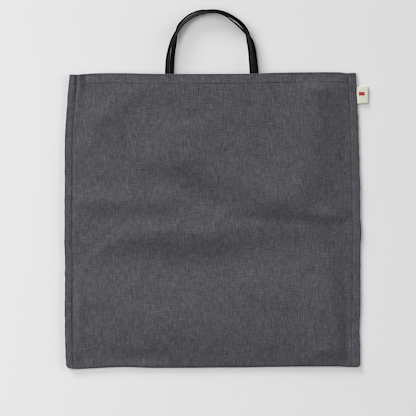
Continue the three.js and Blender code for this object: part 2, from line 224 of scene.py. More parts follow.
def bell(value, width):
    return np.exp(-((value / width) ** 2))


def readTable(rows, key, column, place):  # a smooth curve through all the rows
    place = np.asarray(place, float)
    keys = np.array([row[key] for row in rows], float)
    values = np.array([row[column] for row in rows], float)
    ends = np.arange(len(rows))
    before, after = np.maximum(ends - 1, 0), np.minimum(ends + 1, len(rows) - 1)
    slopes = (values[after] - values[before]) / (keys[after] - keys[before])
    high = np.clip(np.searchsorted(keys, place, side="right"), 1, len(rows) - 1)
    low = high - 1
    span = keys[high] - keys[low]
    share = np.clip((place - keys[low]) / span, 0, 1)
    eased = share * share * (3 - 2 * share)
    bends = (1 - share) * slopes[low] - share * slopes[high]
    return mix(values[low], values[high], eased) + share * (1 - share) * span * bends


def waves(x, y, wavelength, seed, count=14):  # soft random ripples, about -1 to 1
    rng = np.random.default_rng(seed)
    total = 0
    for _ in range(count):
        heading = rng.uniform(0, math.pi)
        size = wavelength * rng.uniform(0.7, 1.5)
        along = x * math.cos(heading) + y * math.sin(heading)
        total = total + np.sin(2 * math.pi * along / size + rng.uniform(0, 2 * math.pi))
    return total / math.sqrt(count) / 1.4


# across the bag, s is -1 and 1 at the side seams and -2 and 2 at the flanges' edges;
# along it, t is 0 at the bottom fold and 1 at the mouth
def seamX(side, t):
    inset = readTable(sideOutline, "rise", "left" if side < 0 else "right", t) * bag["width"]
    return side * (bag["width"] / 2 - inset - bag["seamAllowance"])


def insideSeam(s):
    return np.maximum(0, 1 - np.abs(s)) * (bag["width"] / 2 - bag["seamAllowance"])


def pastSeam(s):  # distance outside the seam, negative on the belly
    return np.where(np.abs(s) > 1, (np.abs(s) - 1) * bag["seamAllowance"], -insideSeam(s))


def clothX(s, t):
    between = mix(seamX(-1, t), seamX(1, t), (s + 1) / 2)
    up = np.minimum(t * bag["height"], bag["cornerRadius"])
    rounded = bag["cornerRadius"] - np.sqrt(bag["cornerRadius"] ** 2 - (bag["cornerRadius"] - up) ** 2)
    outside = (np.abs(s) - 1) * (bag["seamAllowance"] - rounded)
    wobble = 0.3 * waves(np.sign(s) * 500, t * bag["height"], 16, 3) * ease(1.2, 2, np.abs(s))
    flange = np.where(s < 0, seamX(-1, t) - outside - wobble, seamX(1, t) + outside + wobble)
    return np.where(np.abs(s) <= 1, between, flange)


def clothY(s, t):
    share = clothX(s, t) / bag["width"] + 0.5
    bottom = -bag["height"] / 2 - readTable(endOutline, "across", "bottom", share) * bag["height"]
    mouth = bag["height"] / 2 - readTable(endOutline, "across", "mouth", share) * bag["height"]
    notch = 0.4 * bell(pastSeam(s), 1.5)
    return mix(bottom, mouth - notch, t)


def acrossAtMouth(x):
    return (x - seamX(-1, 1.0)) / (seamX(1, 1.0) - seamX(-1, 1.0)) * 2 - 1


def stagger(layer):
    return handle["stagger"] * (-1 if layer == "front" else 1)


def legX(layer, side):
    leg = course[layer][0 if side < 0 else -1]
    outward = handle["span"] / 2 + leg["aside"] * handle["strapWidth"]
    return handle["middle"] + stagger(layer) + side * outward


pocketHalf = handle["strapWidth"] / 2 + hem["clearance"]


def besideLegs(layer, x):  # distance from the nearer leg of that handle
    return np.minimum(np.abs(x - legX(layer, -1)), np.abs(x - legX(layer, 1)))


def halfMeeting(s, t):  # half the thickness where front and back are sewn or folded together
    outside = np.maximum(0, pastSeam(s))
    thickness = mix(bag["seamThickness"], bag["flangeThickness"], ease(0, bag["seamGroove"], outside))
    fromSide = (2 - np.abs(s)) * bag["seamAllowance"]
    fromEdge = np.minimum(np.minimum(fromSide, t * bag["height"]), bag["foldRadius"]) / bag["foldRadius"]
    return thickness / 2 * np.sqrt(np.maximum(0, 1 - (1 - fromEdge) ** 2))


def plainHeights(s, t):  # the front and the back without folds or creases
    half = halfMeeting(s, t)
    closed = bag["flangeHeight"] + half
    opened = 1 - np.minimum(1, np.abs(s)) ** bag["bellySquareness"]
    full = 1 - (1 - np.minimum(1, t * bag["height"] / bag["bellyRun"])) ** 3
    flat = ease(0, bag["backLipWidth"], insideSeam(s)) * ease(0, bag["backLipWidth"], t * bag["height"])
    front = closed + (bag["depth"] - closed) * opened * full
    return front, (bag["flangeHeight"] - half) * (1 - flat)


def foldDepth(x, y):
    deep = 0
    for fold in folds:
        dx, dy = fold["x1"] - fold["x0"], fold["y1"] - fold["y0"]
        length = math.hypot(dx, dy)
        along = ((x - fold["x0"]) * dx + (y - fold["y0"]) * dy) / length
        across = ((y - fold["y0"]) * dx - (x - fold["x0"]) * dy) / length
        beyond = np.maximum(0, np.maximum(-along, along - length))
        off = across / np.where(across > 0, fold["left"], fold["right"])
        pastEnd = beyond / (fold["left"] / 2 + fold["right"] / 2)
        deep = deep + mix(fold["deep0"], fold["deep1"], ease(0, length, along)) * np.exp(-off**2 - pastEnd**2)
    return deep * foldGain


# how high the cloth's ripples, crumples and seams stand, in millimetres
relief = dict(
    edgeRipple=0.6,
    fineRipple=0.35,
    bottomRipple=0.5,
    leftEdgeLift=1.2,
    crumples=[(0.2, 34, 22), (0.1, 15, 23), (0.05, 8, 24)],  # height, wavelength and seed
    rimGroove=0.3,
    pucker=0.17,
    seamGrooveLeft=0.85,
    seamGrooveRight=0.4,
    seamWidthLeft=1.5,
    seamWidthRight=0.9,
    threadPull=0.3,
    overStrap=0.7,
    hemTiltLeft=1.7,
    hemTiltRight=1.1,
    restWaves=[(0.3, 60, 31), (0.12, 20, 32)],
)

# the upper left corner folds once more beside the seam, and dips below that
cornerFold = [
    dict(x=-169.5, width=3.4, height=2.2),
    dict(x=-163, width=2.4, height=-1.2),
    dict(x=-178.5, width=2.2, height=1.3),
]
cornerDip = dict(x=-177.5, width=3.2, down=27, length=10, height=-1.6)


def sumOfWaves(rows, x, y):
    total = 0
    for height, wavelength, seed in rows:
        total = total + height * waves(x, y, wavelength, seed)
    return total


def edgeLift(s, x, y, up, inside, past, deep):  # both layers rise and fall together at the edges
    side, toRight = ease(18, 0, inside), np.sign(s) * 400
    ripple = relief["edgeRipple"] * waves(toRight, y, 75, 11)
    ripple = ripple + relief["fineRipple"] * waves(toRight + x * 0.3, y, 19, 12)
    lift = side * ease(0, 14, up) * (ripple - 0.3 * np.clip(deep, -1, 2) - 0.3 * ease(0, 10, past))
    lift = lift + ease(16, 0, up) * relief["bottomRipple"] * waves(x, y * 0.2, 65, 13)
    return lift + relief["leftEdgeLift"] * ease(12, 0, inside) * (s < 0)


def cornerHeight(x, down):
    fold = 0
    for row in cornerFold:
        fold = fold + row["height"] * bell(x - row["x"], row["width"])
    across = bell(x - cornerDip["x"], cornerDip["width"])
    dip = cornerDip["height"] * across * bell(down - cornerDip["down"], cornerDip["length"])
    return ease(32, 18, down) * ease(-150, -158, x) * fold + dip


def surfaces(s, t):  # heights of the outsides of the front and the back
    x, y = clothX(s, t), clothY(s, t)
    up, down = t * bag["height"], (1 - t) * bag["height"]
    inside, past = insideSeam(s), pastSeam(s)
    half = halfMeeting(s, t)
    plainFront, plainBack = plainHeights(s, t)
    deep = foldDepth(x, y)
    lift = edgeLift(s, x, y, up, inside, past, deep)
    middle = bag["flangeHeight"] + np.maximum(lift, -0.5)

    # crumples of the front die out towards the seams, the bottom fold and the hem
    calm = ease(0, 20, inside) * ease(0, 24, up) * mix(0.3, 1, ease(8, 34, down))
    front = plainFront - bag["flangeHeight"] - half + sumOfWaves(relief["crumples"], x, y) * calm
    edgeFade = ease(0, bag["creaseMargin"], inside) * ease(0, 17, down - hem["depth"] + 6) * ease(0, 24, up)
    front = front - deep * edgeFade

    # the hem, its pucker and the stitches that pull it down
    fromStitch = down - hem["depth"]
    raised = hem["raised"] * ease(hem["innerDepth"] + 0.6, hem["depth"] - 0.8, down) * ease(-2, 6, inside)
    groove = hem["groove"] * bell(fromStitch, 0.8) * (1 + 0.6 * waves(x, 0 * y, 60, 43))
    rimGroove = relief["rimGroove"] * bell(down - 3.2, 0.9)
    rimGroove = rimGroove * ease(-1.2, 0.6, waves(x, 0 * y, 150, 44)) * ease(0, 6, inside)
    pucker = relief["pucker"] * waves(x, y * 0.1, 10, 41) * np.exp(-np.abs(fromStitch) / 5)
    toRight = ease(-50, 50, x)
    seamWidth = mix(relief["seamWidthLeft"], relief["seamWidthRight"], toRight)
    seamDepth = mix(relief["seamGrooveLeft"], relief["seamGrooveRight"], toRight)
    sewn = seamDepth * bell(past, seamWidth) * ease(0, 4, up)
    pull = relief["threadPull"] * waves(x * 0.1, y, 11, 42) * np.exp(-np.abs(past) / 4.5)
    pull = pull * ease(0, 8, up) * ease(10, 7, past)
    over = ease(pocketHalf + 5, pocketHalf - 1.5, besideLegs("front", x))
    tilt = mix(relief["hemTiltLeft"], relief["hemTiltRight"], ease(-60, 60, x))
    tilt = tilt * ease(hem["depth"] + 3, 0, down) * (1 - over) * ease(0, 20, inside)
    over = relief["overStrap"] * over * ease(handle["insertion"] + 4, handle["insertion"] - 4, down)
    front = front + raised - groove - rimGroove + pucker - sewn + pull + over - tilt
    front = front + cornerHeight(x, down)

    flat = ease(0, bag["backLipWidth"], inside) * ease(0, bag["backLipWidth"], up)
    rest = np.maximum(0, 0.25 + sumOfWaves(relief["restWaves"], x, y))
    back = plainBack - bag["flangeHeight"] + half - lift * flat + rest * ease(0, 22, inside) * ease(0, 26, up)
    back = back - 0.3 * raised + 0.5 * groove + sewn

    meet = ease(0, 1.5 * bag["foldRadius"], np.minimum((2 - np.abs(s)) * bag["seamAllowance"], up))
    return middle + half + front * meet, np.maximum(0, middle - half + back * meet)


print("outline, folds and heights are ready")


def gridFaces(rows, columns, start, flip=False):
    j, i = np.meshgrid(np.arange(rows - 1), np.arange(columns - 1), indexing="ij")
    a = (start + j * columns + i).ravel()
    quads = np.stack([a, a + 1, a + 1 + columns, a + columns], axis=1)
    return quads[:, ::-1] if flip else quads


def meshObject(name, points, faces, weld=None):
    mesh = bpy.data.meshes.new(name)
    mesh.from_pydata([tuple(p) for p in points], [], [tuple(f) for f in faces])
    if weld:
        shape = bmesh.new()
        shape.from_mesh(mesh)
        bmesh.ops.remove_doubles(shape, verts=shape.verts, dist=weld)
        bmesh.ops.recalc_face_normals(shape, faces=shape.faces)
        shape.to_mesh(mesh)
        shape.free()
    mesh.polygons.foreach_set("use_smooth", [True] * len(mesh.polygons))
    made = bpy.data.objects.new(name, mesh)
    bpy.context.collection.objects.link(made)
    return made


# the label: reach is how far it stands out of the seam, root how far it goes in
label = dict(
    width=22,
    reach=14.5,
    root=3.5,
    rise=0.926,
    thickness=0.38,
    gap=0.22,
    droop=0.5,
    curl=0.16,
    ripple=0.05,
    narrowing=0.3,
    skew=0.5,
)


def plainEdgeX(side, t):  # the flange's edge without its small waves
    return seamX(side, t) + side * bag["seamAllowance"]


# where the bag's own frame lies in the scene, from the box of the CAD label
lowCorner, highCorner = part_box("side_label")
labelY = -bag["height"] / 2 + label["rise"] * bag["height"]
offset = np.array(
    [
        highCorner.x / mm - float(plainEdgeX(1, label["rise"])) - label["reach"],
        (lowCorner.y + highCorner.y) / 2 / mm - labelY,
        0.0,
    ]
)
print("offset of the cloth in millimetres", offset.round(3))


def inScene(points):  # from the bag's own frame to the scene
    return (np.asarray(points, float) + offset) * mm


# the cloth bag is one closed skin
cloth = dict(step=2.4, rimSteps=6, innerStep=9, nearSeam=10.0, nearBottom=10, nearHem=23.6, innerHem=30)
toS = bag["width"] / 2 - bag["seamAllowance"]

flangeOut = np.array([0, 0.35, 0.8, 1.3, 2.0, 3.0, 4.2, 5.5, 6.8, 8.0, 8.7, 9.2, 9.6, 9.85, 9.96, 10.0])
flangeS = 1 + flangeOut / bag["seamAllowance"]
nearIn = np.array([0.4, 0.9, 1.5, 2.3, 3.4, 4.8, 6.4, 8.2])
midCount = round(2 * (toS - cloth["nearSeam"]) / cloth["step"])
midS = 1 - cloth["nearSeam"] / toS
nearS = 1 - nearIn / toS
bellyS = np.concatenate([-nearS, np.linspace(-midS, midS, midCount + 1), nearS[::-1]])
wholeS = np.concatenate([-flangeS[::-1], bellyS, flangeS])
innerS = np.concatenate([[-1.0], bellyS, [1.0]])

bottomUp = np.array([0, 0.06, 0.22, 0.5, 0.9, 1.4, 2.0, 2.8, 3.9, 5.4, 7.4])
hemDown = np.concatenate(
    [
        np.arange(hem["rimRound"], 10.6, 0.8),
        np.arange(11.0, 15.2, 0.42),
        np.array([15.8, 16.8, 18.0, 19.6, 21.4]),
    ]
)
midRows = round((bag["height"] - cloth["nearHem"] - cloth["nearBottom"]) / cloth["step"])
midUp = np.linspace(cloth["nearBottom"], bag["height"] - cloth["nearHem"], midRows)
wholeT = np.concatenate([bottomUp, midUp, (bag["height"] - hemDown)[::-1]]) / bag["height"]

gridS, gridT = np.meshgrid(wholeS, wholeT)
frontZ, backZ = surfaces(gridS, gridT)
clothXs, clothYs = clothX(gridS, gridT), clothY(gridS, gridT)


# the wall, and in the hem also its inner layer and the straps' pockets
def innerThickness(layer, s, t):
    down = (1 - t) * bag["height"]
    pocket = 1 - ease(pocketHalf, pocketHalf + handle["pocketRamp"], besideLegs(layer, clothX(s, t)))
    double = hem["clearance"] + hem["thickness"] + (handle["strapThickness"] + hem["clearance"]) * pocket
    turned = ease(hem["innerDepth"] + 0.5, hem["innerDepth"] - 0.9, down)
    return bag["clothThickness"] + double * turned


def innerHeights(s, t):
    front, back = surfaces(s, t)
    middle = (front + back) / 2
    apart = 0.05 * ease(0, 1.5, insideSeam(s)) * ease(0, 4, t * bag["height"])
    upper = np.maximum(front - innerThickness("front", s, t), middle + apart)
    lower = np.minimum(back + innerThickness("back", s, t), middle - apart)
    parted = ease(0, 2, insideSeam(s))  # both meet in the side seam
    return mix(middle, upper, parted), mix(middle, lower, parted)


points, faces, count = [], [], 0


def addPatch(x, y, z, flip=False):
    global count
    points.append(np.stack([x, y, z], axis=-1).reshape(-1, 3))
    faces.append(gridFaces(x.shape[0], x.shape[1], count, flip))
    count += x.size


addPatch(clothXs, clothYs, frontZ)
addPatch(clothXs, clothYs, backZ, flip=True)

# inner faces, from the rim's roll down to the bottom
innerDown = np.array([hem["rimRound"], 3.5, 6.5, 9.5, 12.0, 13.4, 13.9, 14.3, 14.7, 15.1, 15.6, 17.5, 22])
innerRows = round((bag["height"] - cloth["innerHem"] - 4) / cloth["innerStep"])
innerUp = np.concatenate([[2.6, 3.6, 6], np.linspace(12, bag["height"] - cloth["innerHem"], innerRows)])
innerT = np.concatenate([innerUp, (bag["height"] - innerDown)[::-1]]) / bag["height"]
innerSS, innerTT = np.meshgrid(innerS, innerT)
upperZ, lowerZ = innerHeights(innerSS, innerTT)
innerXs, innerYs = clothX(innerSS, innerTT), clothY(innerSS, innerTT)
closing = (upperZ[0] + lowerZ[0]) / 2  # both faces meet in the bottom fold
upperZ[0], lowerZ[0] = closing, closing
rimLine = clothY(innerS, 1.0)

# the rim: a roll from the outside over to the inside, which turns into a cap on the flanges
steps = cloth["rimSteps"]
atRim = 1 - hem["rimRound"] / bag["height"]
share = np.linspace(0, 1, steps + 1)[:, None]
rollOn = ease(0, 9, insideSeam(innerS))[None, :]
rimFront, rimBack = surfaces(innerS, np.full_like(innerS, atRim))
rimUpper, rimLower = innerHeights(innerS, np.full_like(innerS, atRim))
rimY = mix(np.sin(math.pi / 2 * share), np.sin(math.pi * share), rollOn)
rimTurn = mix(1 - np.cos(math.pi / 2 * share), (1 - np.cos(math.pi * share)) / 2, rollOn)
rimYs = (rimLine - hem["rimRound"])[None, :] + hem["rimRound"] * rimY
baseY = clothY(innerS, atRim)[None, :]
rimYs = rimYs + (baseY - (rimLine - hem["rimRound"])[None, :]) * (1 - rimY)
rimXs = np.repeat(clothX(innerS, np.full_like(innerS, atRim))[None, :], steps + 1, 0)
addPatch(rimXs, rimYs, rimFront[None, :] + (rimUpper - rimFront)[None, :] * rimTurn)
addPatch(rimXs, rimYs, rimBack[None, :] + (rimLower - rimBack)[None, :] * rimTurn, flip=True)

# the inner faces start where the roll ends
innerYs[-1] = rimYs[-1]
addPatch(innerXs, innerYs, upperZ, flip=True)
addPatch(innerXs, innerYs, lowerZ)

# caps over the flanges' upper ends
for flangeLine in (-flangeS[::-1], flangeS):
    full = np.full_like(flangeLine, atRim)
    capFront, capBack = surfaces(flangeLine, full)
    capShare = np.linspace(0, 1, 2 * steps + 1)[:, None]
    reach = hem["rimRound"] * np.minimum(1, halfMeeting(flangeLine, full) / (bag["seamThickness"] / 2))
    base = clothY(flangeLine, full)
    capTop = clothY(flangeLine, np.ones_like(flangeLine)) - base
    grow = capTop * reach / hem["rimRound"]
    capY = base[None, :] + grow[None, :] * np.sin(math.pi * capShare)
    capZ = (capFront + capBack)[None, :] / 2 + (capFront - capBack)[None, :] / 2 * np.cos(math.pi * capShare)
    addPatch(np.repeat(clothX(flangeLine, full)[None, :], 2 * steps + 1, 0), capY, capZ)

clothBag = meshObject("cloth_bag", inScene(np.concatenate(points)), np.concatenate(faces), weld=1e-6)
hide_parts("cloth_body", "mouth_hem_front", "mouth_hem_back")
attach(clothBag, "root")
edgeUses = np.bincount([loop.edge_index for loop in clothBag.data.loops])
print("cloth bag:", len(clothBag.data.polygons), "faces,", int((edgeUses != 2).sum()), "open edges")


# the leather straps of the handles, with rounded and slightly crowned faces
strap = dict(around=30, steps=230, squareness=4.0, closerAtLegs=0.7)


def hoopRise(along):
    return np.sin(math.pi * np.clip(along, 0, 1)) ** (2 / handle["archLegs"])


def hoopPlan(layer, along):
    sideways = -np.cos(math.pi * along)
    rise = hoopRise(along)
    bow = np.sign(sideways) * np.abs(sideways) ** (2 / handle["archCrown"])
    x = handle["middle"] + stagger(layer) * ease(1, 0, rise) + handle["span"] / 2 * bow
    share = x / bag["width"] + 0.5
    mouth = bag["height"] / 2 - readTable(endOutline, "across", "mouth", share) * bag["height"]
    return x, mix(mouth, bag["height"] / 2, rise) + handle["rise"] * rise


def pocketHeight(layer, side):
    front, back = plainHeights(acrossAtMouth(legX(layer, side)), 1.0)
    fromOutside = bag["clothThickness"] + hem["clearance"] + handle["strapThickness"] / 2
    return front - fromOutside if layer == "front" else back + fromOutside


# middles of the strap, and the directions across its width and out of its face
def strapSections(layer):
    share = np.linspace(0, 1, strap["steps"])
    along = mix(share, ease(0, 1, share), strap["closerAtLegs"])
    aheadX, aheadY = hoopPlan(layer, np.minimum(1, along + 0.004))
    behindX, behindY = hoopPlan(layer, np.maximum(0, along - 0.004))
    heading = np.stack([aheadX - behindX, aheadY - behindY, 0 * along], axis=1)
    heading /= np.linalg.norm(heading, axis=1)[:, None]
    inward = np.stack([heading[:, 1], -heading[:, 0], 0 * along], axis=1)
    x, y = hoopPlan(layer, along)
    resting = readTable(course[layer], "along", "high", along) * handle["strapWidth"]
    inPocket = np.where(along < 0.5, pocketHeight(layer, -1), pocketHeight(layer, 1))
    middle = np.stack([x, y, mix(inPocket, resting, ease(0, 1, hoopRise(along)))], axis=1)
    aside = readTable(course[layer], "along", "aside", along) * handle["strapWidth"]
    middle = middle - inward * aside[:, None]
    turn = np.radians(readTable(course[layer], "along", "turn", along))[:, None]
    flat = inward * np.cos(turn) + np.array([0.0, 0.0, 1.0]) * np.sin(turn)
    face = np.cross(flat, heading)
    inHem = np.linspace(0, handle["insertion"], 6)[1:, None] * np.array([0, -1, 0])
    middle = np.concatenate([(middle[0] + inHem)[::-1], middle, middle[-1] + inHem])
    flat = np.concatenate([np.repeat(flat[:1], 5, 0), flat, np.repeat(flat[-1:], 5, 0)])
    face = np.concatenate([np.repeat(face[:1], 5, 0), face, np.repeat(face[-1:], 5, 0)])
    return middle, flat, face


def strapMesh(layer):
    middle, flat, face = strapSections(layer)
    turn = np.linspace(0, 2 * math.pi, strap["around"], endpoint=False)
    power = 2 / strap["squareness"]
    wide = handle["strapWidth"] / 2 * np.sign(np.cos(turn)) * np.abs(np.cos(turn)) ** power
    thick = handle["strapThickness"] / 2 * np.sign(np.sin(turn)) * np.abs(np.sin(turn)) ** power
    rings = middle[:, None] + wide[None, :, None] * flat[:, None] + thick[None, :, None] * face[:, None]
    sides = strap["around"]
    faces = []
    for j in range(len(middle) - 1):
        for i in range(sides):
            n = (i + 1) % sides
            faces.append((j * sides + i, j * sides + n, (j + 1) * sides + n, (j + 1) * sides + i))
    last = (len(middle) - 1) * sides
    faces += [tuple(range(sides))[::-1], tuple(range(last, last + sides))]
    made = meshObject(f"{layer}_strap", inScene(rings.reshape(-1, 3)), faces)
    # across and along the strap, in centimetres, for the grain
    length = np.concatenate([[0], np.cumsum(np.linalg.norm(np.diff(middle, axis=0), axis=1))])
    uv = made.data.uv_layers.new(name="grain")
    for loop in made.data.loops:
        ring, i = divmod(loop.vertex_index, sides)
        uv.data[loop.index].uv = ((wide[i] + 1.5 * thick[i]) / 10, length[ring] / 10)
    return made


straps = []
for layer in ("front", "back"):
    made = strapMesh(layer)
    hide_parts(f"{layer}_handle")
    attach(made, "root")
    straps.append(made)
print("straps:", len(straps))


# the tape label in the right side seam: out along the top, round the fold and back below
def labelHeight(x, y, v):  # how the tape sags and curls
    out = ease(0, label["reach"], x)
    return out * (label["curl"] * np.sin(v * 5 + 0.6) - label["droop"] + label["ripple"] * waves(x, y, 6, 71))


def labelMesh():
    foldAt = label["reach"] - 0.7
    out = np.linspace(-label["root"], foldAt, 16)
    bend = np.linspace(math.pi / 2, -math.pi / 2, 9)[1:-1]
    half = (label["thickness"] + label["gap"]) / 2
    lineX = np.concatenate([out, foldAt + half * np.cos(bend), out[::-1]])
    lineZ = np.concatenate([np.full(16, half), half * np.sin(bend), np.full(16, -half)])
    lineZ = lineZ * mix(0.45, 1, ease(0, 9, lineX))
    slopeX, slopeZ = np.gradient(lineX), np.gradient(lineZ)
    size = np.hypot(slopeX, slopeZ)
    across = np.linspace(-0.5, 0.5, 23)
    edgeX = float(plainEdgeX(1, label["rise"]))
    grids = []
    for face in (1, -1):
        toFace = face * label["thickness"] / 2
        x, v = np.meshgrid(lineX - slopeZ / size * toFace, across, indexing="ij")
        outward = ease(0, label["reach"], x)
        y = labelY + v * (label["width"] - label["narrowing"] * outward) + label["skew"] * outward
        z = np.repeat((lineZ + slopeX / size * toFace)[:, None], len(across), 1)
        z = bag["flangeHeight"] + z + labelHeight(x, y, v)
        grids.append(np.stack([edgeX + x, y, z], axis=-1))
    rows, columns = grids[0].shape[:2]
    total = rows * columns
    faces = [tuple(f) for f in gridFaces(rows, columns, 0)]
    faces += [tuple(f) for f in gridFaces(rows, columns, total, flip=True)]
    for j in range(rows - 1):
        for i in (0, columns - 1):
            a, b = j * columns + i, (j + 1) * columns + i
            faces.append((a, b, total + b, total + a))
    for i in range(columns - 1):
        for j in (0, rows - 1):
            a, b = j * columns + i, j * columns + i + 1
            faces.append((a, b, total + b, total + a))
    points = np.concatenate([grid.reshape(-1, 3) for grid in grids])
    return meshObject("tape_label", inScene(points), faces, weld=1e-7)


tapeLabel = labelMesh()
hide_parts("side_label")
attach(tapeLabel, "root")

# a plain bar of red thread on the label
bar = dict(x=6.3, y=2.0, width=7.4, height=4.4, raised=0.16, sunk=0.08)


def barMesh():
    u, v = np.meshgrid(np.linspace(-0.5, 0.5, 21), np.linspace(-0.5, 0.5, 13))
    edge = np.minimum(ease(0.5, 0.44, np.abs(u)), ease(0.5, 0.42, np.abs(v)))
    up = bar["y"] + v * bar["height"]
    x, y = bar["x"] + u * bar["width"], labelY + up
    tape = label["thickness"] + label["gap"] / 2 - 0.05
    z = bag["flangeHeight"] + tape + labelHeight(x, y, up / label["width"])
    edgeX = float(plainEdgeX(1, label["rise"]))
    top = np.stack([edgeX + x, y, z + bar["raised"] * edge], axis=-1).reshape(-1, 3)
    under = np.stack([edgeX + x, y, z - bar["sunk"]], axis=-1).reshape(-1, 3)
    rows, columns = u.shape
    total = rows * columns
    faces = [tuple(f) for f in gridFaces(rows, columns, 0)]
    faces += [tuple(f) for f in gridFaces(rows, columns, total, flip=True)]
    ring = [*range(columns), *range(2 * columns - 1, total, columns)]
    ring += [*range(total - 2, total - columns - 1, -1), *range(total - 2 * columns, 0, -columns)]
    for a, b in zip(ring, ring[1:] + ring[:1]):
        faces.append((a, total + a, total + b, b))
    return meshObject("red_bar", inScene(np.concatenate([top, under])), faces)


redBar = barMesh()
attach(redBar, "root")


# stitches: short threads whose ends dip into the cloth
stitch = dict(length=2.3, pitch=3.1, radius=0.19, sides=6, dip=0.25, uneven=0.06)
tack = dict(besidePocket=1.4, belowRim=2.6, rows=3, firstRow=3.2, betweenRows=0.55, half=3.4, pitch=2.2)


def stitchRow(name, starts, ends, ups, radius):
    shares = (-0.5, -0.44, -0.25, 0.0, 0.25, 0.44, 0.5)
    profile = list(zip(shares, (0.35, 0.8, 1.0, 1.0, 1.0, 0.8, 0.35)))
    sides = stitch["sides"]
    turn = np.linspace(0, 2 * math.pi, sides, endpoint=False)
    points, faces, start = [], [], 0
    rng = np.random.default_rng(len(starts))
    for a, b, up in zip(starts, ends, ups):
        along = b - a
        length = np.linalg.norm(along)
        along = along / length
        side = np.cross(along, up)
        side /= np.linalg.norm(side)
        up = np.cross(side, along)
        middle = (a + b) / 2 + side * rng.normal(0, stitch["uneven"])
        length *= rng.uniform(0.9, 1.06)
        for share, size in profile:
            sunk = radius * 0.5 - stitch["dip"] * abs(2 * share) ** 3
            centre = middle + along * share * length + up * sunk
            ring = np.cos(turn)[:, None] * side + np.sin(turn)[:, None] * up
            points.append(centre + ring * radius * size)
        rows = len(profile)
        for j in range(rows - 1):
            for i in range(sides):
                a, n = start + j * sides + i, start + j * sides + (i + 1) % sides
                faces.append((a, n, n + sides, a + sides))
        faces.append(tuple(start + i for i in range(sides))[::-1])
        faces.append(tuple(start + (rows - 1) * sides + i for i in range(sides)))
        start += rows * sides
    made = meshObject(name, inScene(np.concatenate(points)), faces)
    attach(made, "root")
    return made


def onCloth(layer, s, t):
    front, back = surfaces(s, t)
    return np.stack([clothX(s, t), clothY(s, t), front if layer == "front" else back], axis=-1)


# pairs of ends along a straight line of s and t
def rowOnCloth(layer, s0, t0, s1, t1, pitch=stitch["pitch"]):
    many = 400
    line = onCloth(layer, np.linspace(s0, s1, many), np.linspace(t0, t1, many))
    length = np.concatenate([[0], np.cumsum(np.linalg.norm(np.diff(line[:, :2], axis=0), axis=1))])
    number = max(1, int(length[-1] / pitch))
    middles = (np.arange(number) + 0.5) * length[-1] / number
    half = stitch["length"] / stitch["pitch"] * pitch / 2

    def at(distance):
        return np.stack([np.interp(distance, length, line[:, k]) for k in range(3)], axis=-1)

    ups = np.repeat([[0.0, 0.0, 1.0 if layer == "front" else -1.0]], number, 0)
    return at(middles - half), at(middles + half), ups


def joinRows(rows):
    return [np.concatenate([row[k] for row in rows]) for k in range(3)]


hemT = 1 - hem["depth"] / bag["height"]
stitchPieces = []
for layer in ("front", "back"):
    rows = [rowOnCloth(layer, -1.0, hemT, 1.0, hemT)]
    for side in (-1, 1):
        leg = legX(layer, side)
        beside = pocketHalf + tack["besidePocket"]
        for x in (leg - beside, leg + beside):
            s = float(acrossAtMouth(x))
            rows.append(rowOnCloth(layer, s, hemT + 0.002, s, 1 - tack["belowRim"] / bag["height"]))
        for row in range(tack["rows"]):
            t = 1 - (tack["firstRow"] + tack["betweenRows"] * row) / bag["height"]
            middle, half = float(acrossAtMouth(leg)), tack["half"] / toS
            rows.append(rowOnCloth(layer, middle - half, t, middle + half, t, pitch=tack["pitch"]))
    stitchPieces.append(stitchRow(f"hem_stitches_{layer}", *joinRows(rows), stitch["radius"]))
for layer in ("front", "back"):
    rows = [rowOnCloth(layer, side, 0.012, side, 1 - 1.8 / bag["height"]) for side in (-1.0, 1.0)]
    stitchPieces.append(stitchRow(f"side_stitches_{layer}", *joinRows(rows), stitch["radius"]))
print("stitch rows:", len(stitchPieces))


def addNode(tree, kind, inputs=None, **settings):
    made = tree.nodes.new(kind)
    for name, value in settings.items():  # these come first, because a group's sockets depend on them
        setattr(made, name, value)
    for name, value in (inputs or {}).items():
        if isinstance(value, bpy.types.NodeSocket):
            tree.links.new(value, made.inputs[name])
        else:
            made.inputs[name].default_value = value
    return made


def maths(tree, operation, a, b=0.5, c=0.5):
    return addNode(tree, "ShaderNodeMath", {0: a, 1: b, 2: c}, operation=operation).outputs[0]


def noise(tree, vector, scale, detail=2.0, roughness=0.5):
    inputs = {"Vector": vector, "Scale": scale, "Detail": detail, "Roughness": roughness}
    return addNode(tree, "ShaderNodeTexNoise", inputs).outputs["Fac"]


def vectorMaths(tree, operation, inputs):
    return addNode(tree, "ShaderNodeVectorMath", inputs, operation=operation).outputs[0]


def times(tree, a, b):
    return maths(tree, "MULTIPLY", a, b)


def stretched(tree, vector, size):
    return vectorMaths(tree, "MULTIPLY", {0: vector, 1: size})


def scaled(tree, color, tone):
    return vectorMaths(tree, "SCALE", {0: color, 3: tone})


def objectPosition(tree):
    return addNode(tree, "ShaderNodeTexCoord").outputs["Object"]


def bumped(tree, shader, strength, distance, height):
    bump = addNode(tree, "ShaderNodeBump", {"Strength": strength, "Distance": distance, "Height": height})
    tree.links.new(bump.outputs[0], shader.inputs["Normal"])


def twoTones(tree, shader, share, dark, light):
    color = addNode(tree, "ShaderNodeMix", {0: share}, data_type="RGBA")
    color.inputs[6].default_value = (*dark, 1)
    color.inputs[7].default_value = (*light, 1)
    tree.links.new(color.outputs[2], shader.inputs["Base Color"])


def newGroup(name, inputs, outputs):
    group = bpy.data.node_groups.new(name, "ShaderNodeTree")
    for title, kind, value in inputs:
        socket = group.interface.new_socket(title, in_out="INPUT", socket_type=kind)
        if value is not None:
            socket.default_value = value
    for title, kind in outputs:
        group.interface.new_socket(title, in_out="OUTPUT", socket_type=kind)
    return group, group.nodes.new("NodeGroupInput"), group.nodes.new("NodeGroupOutput")


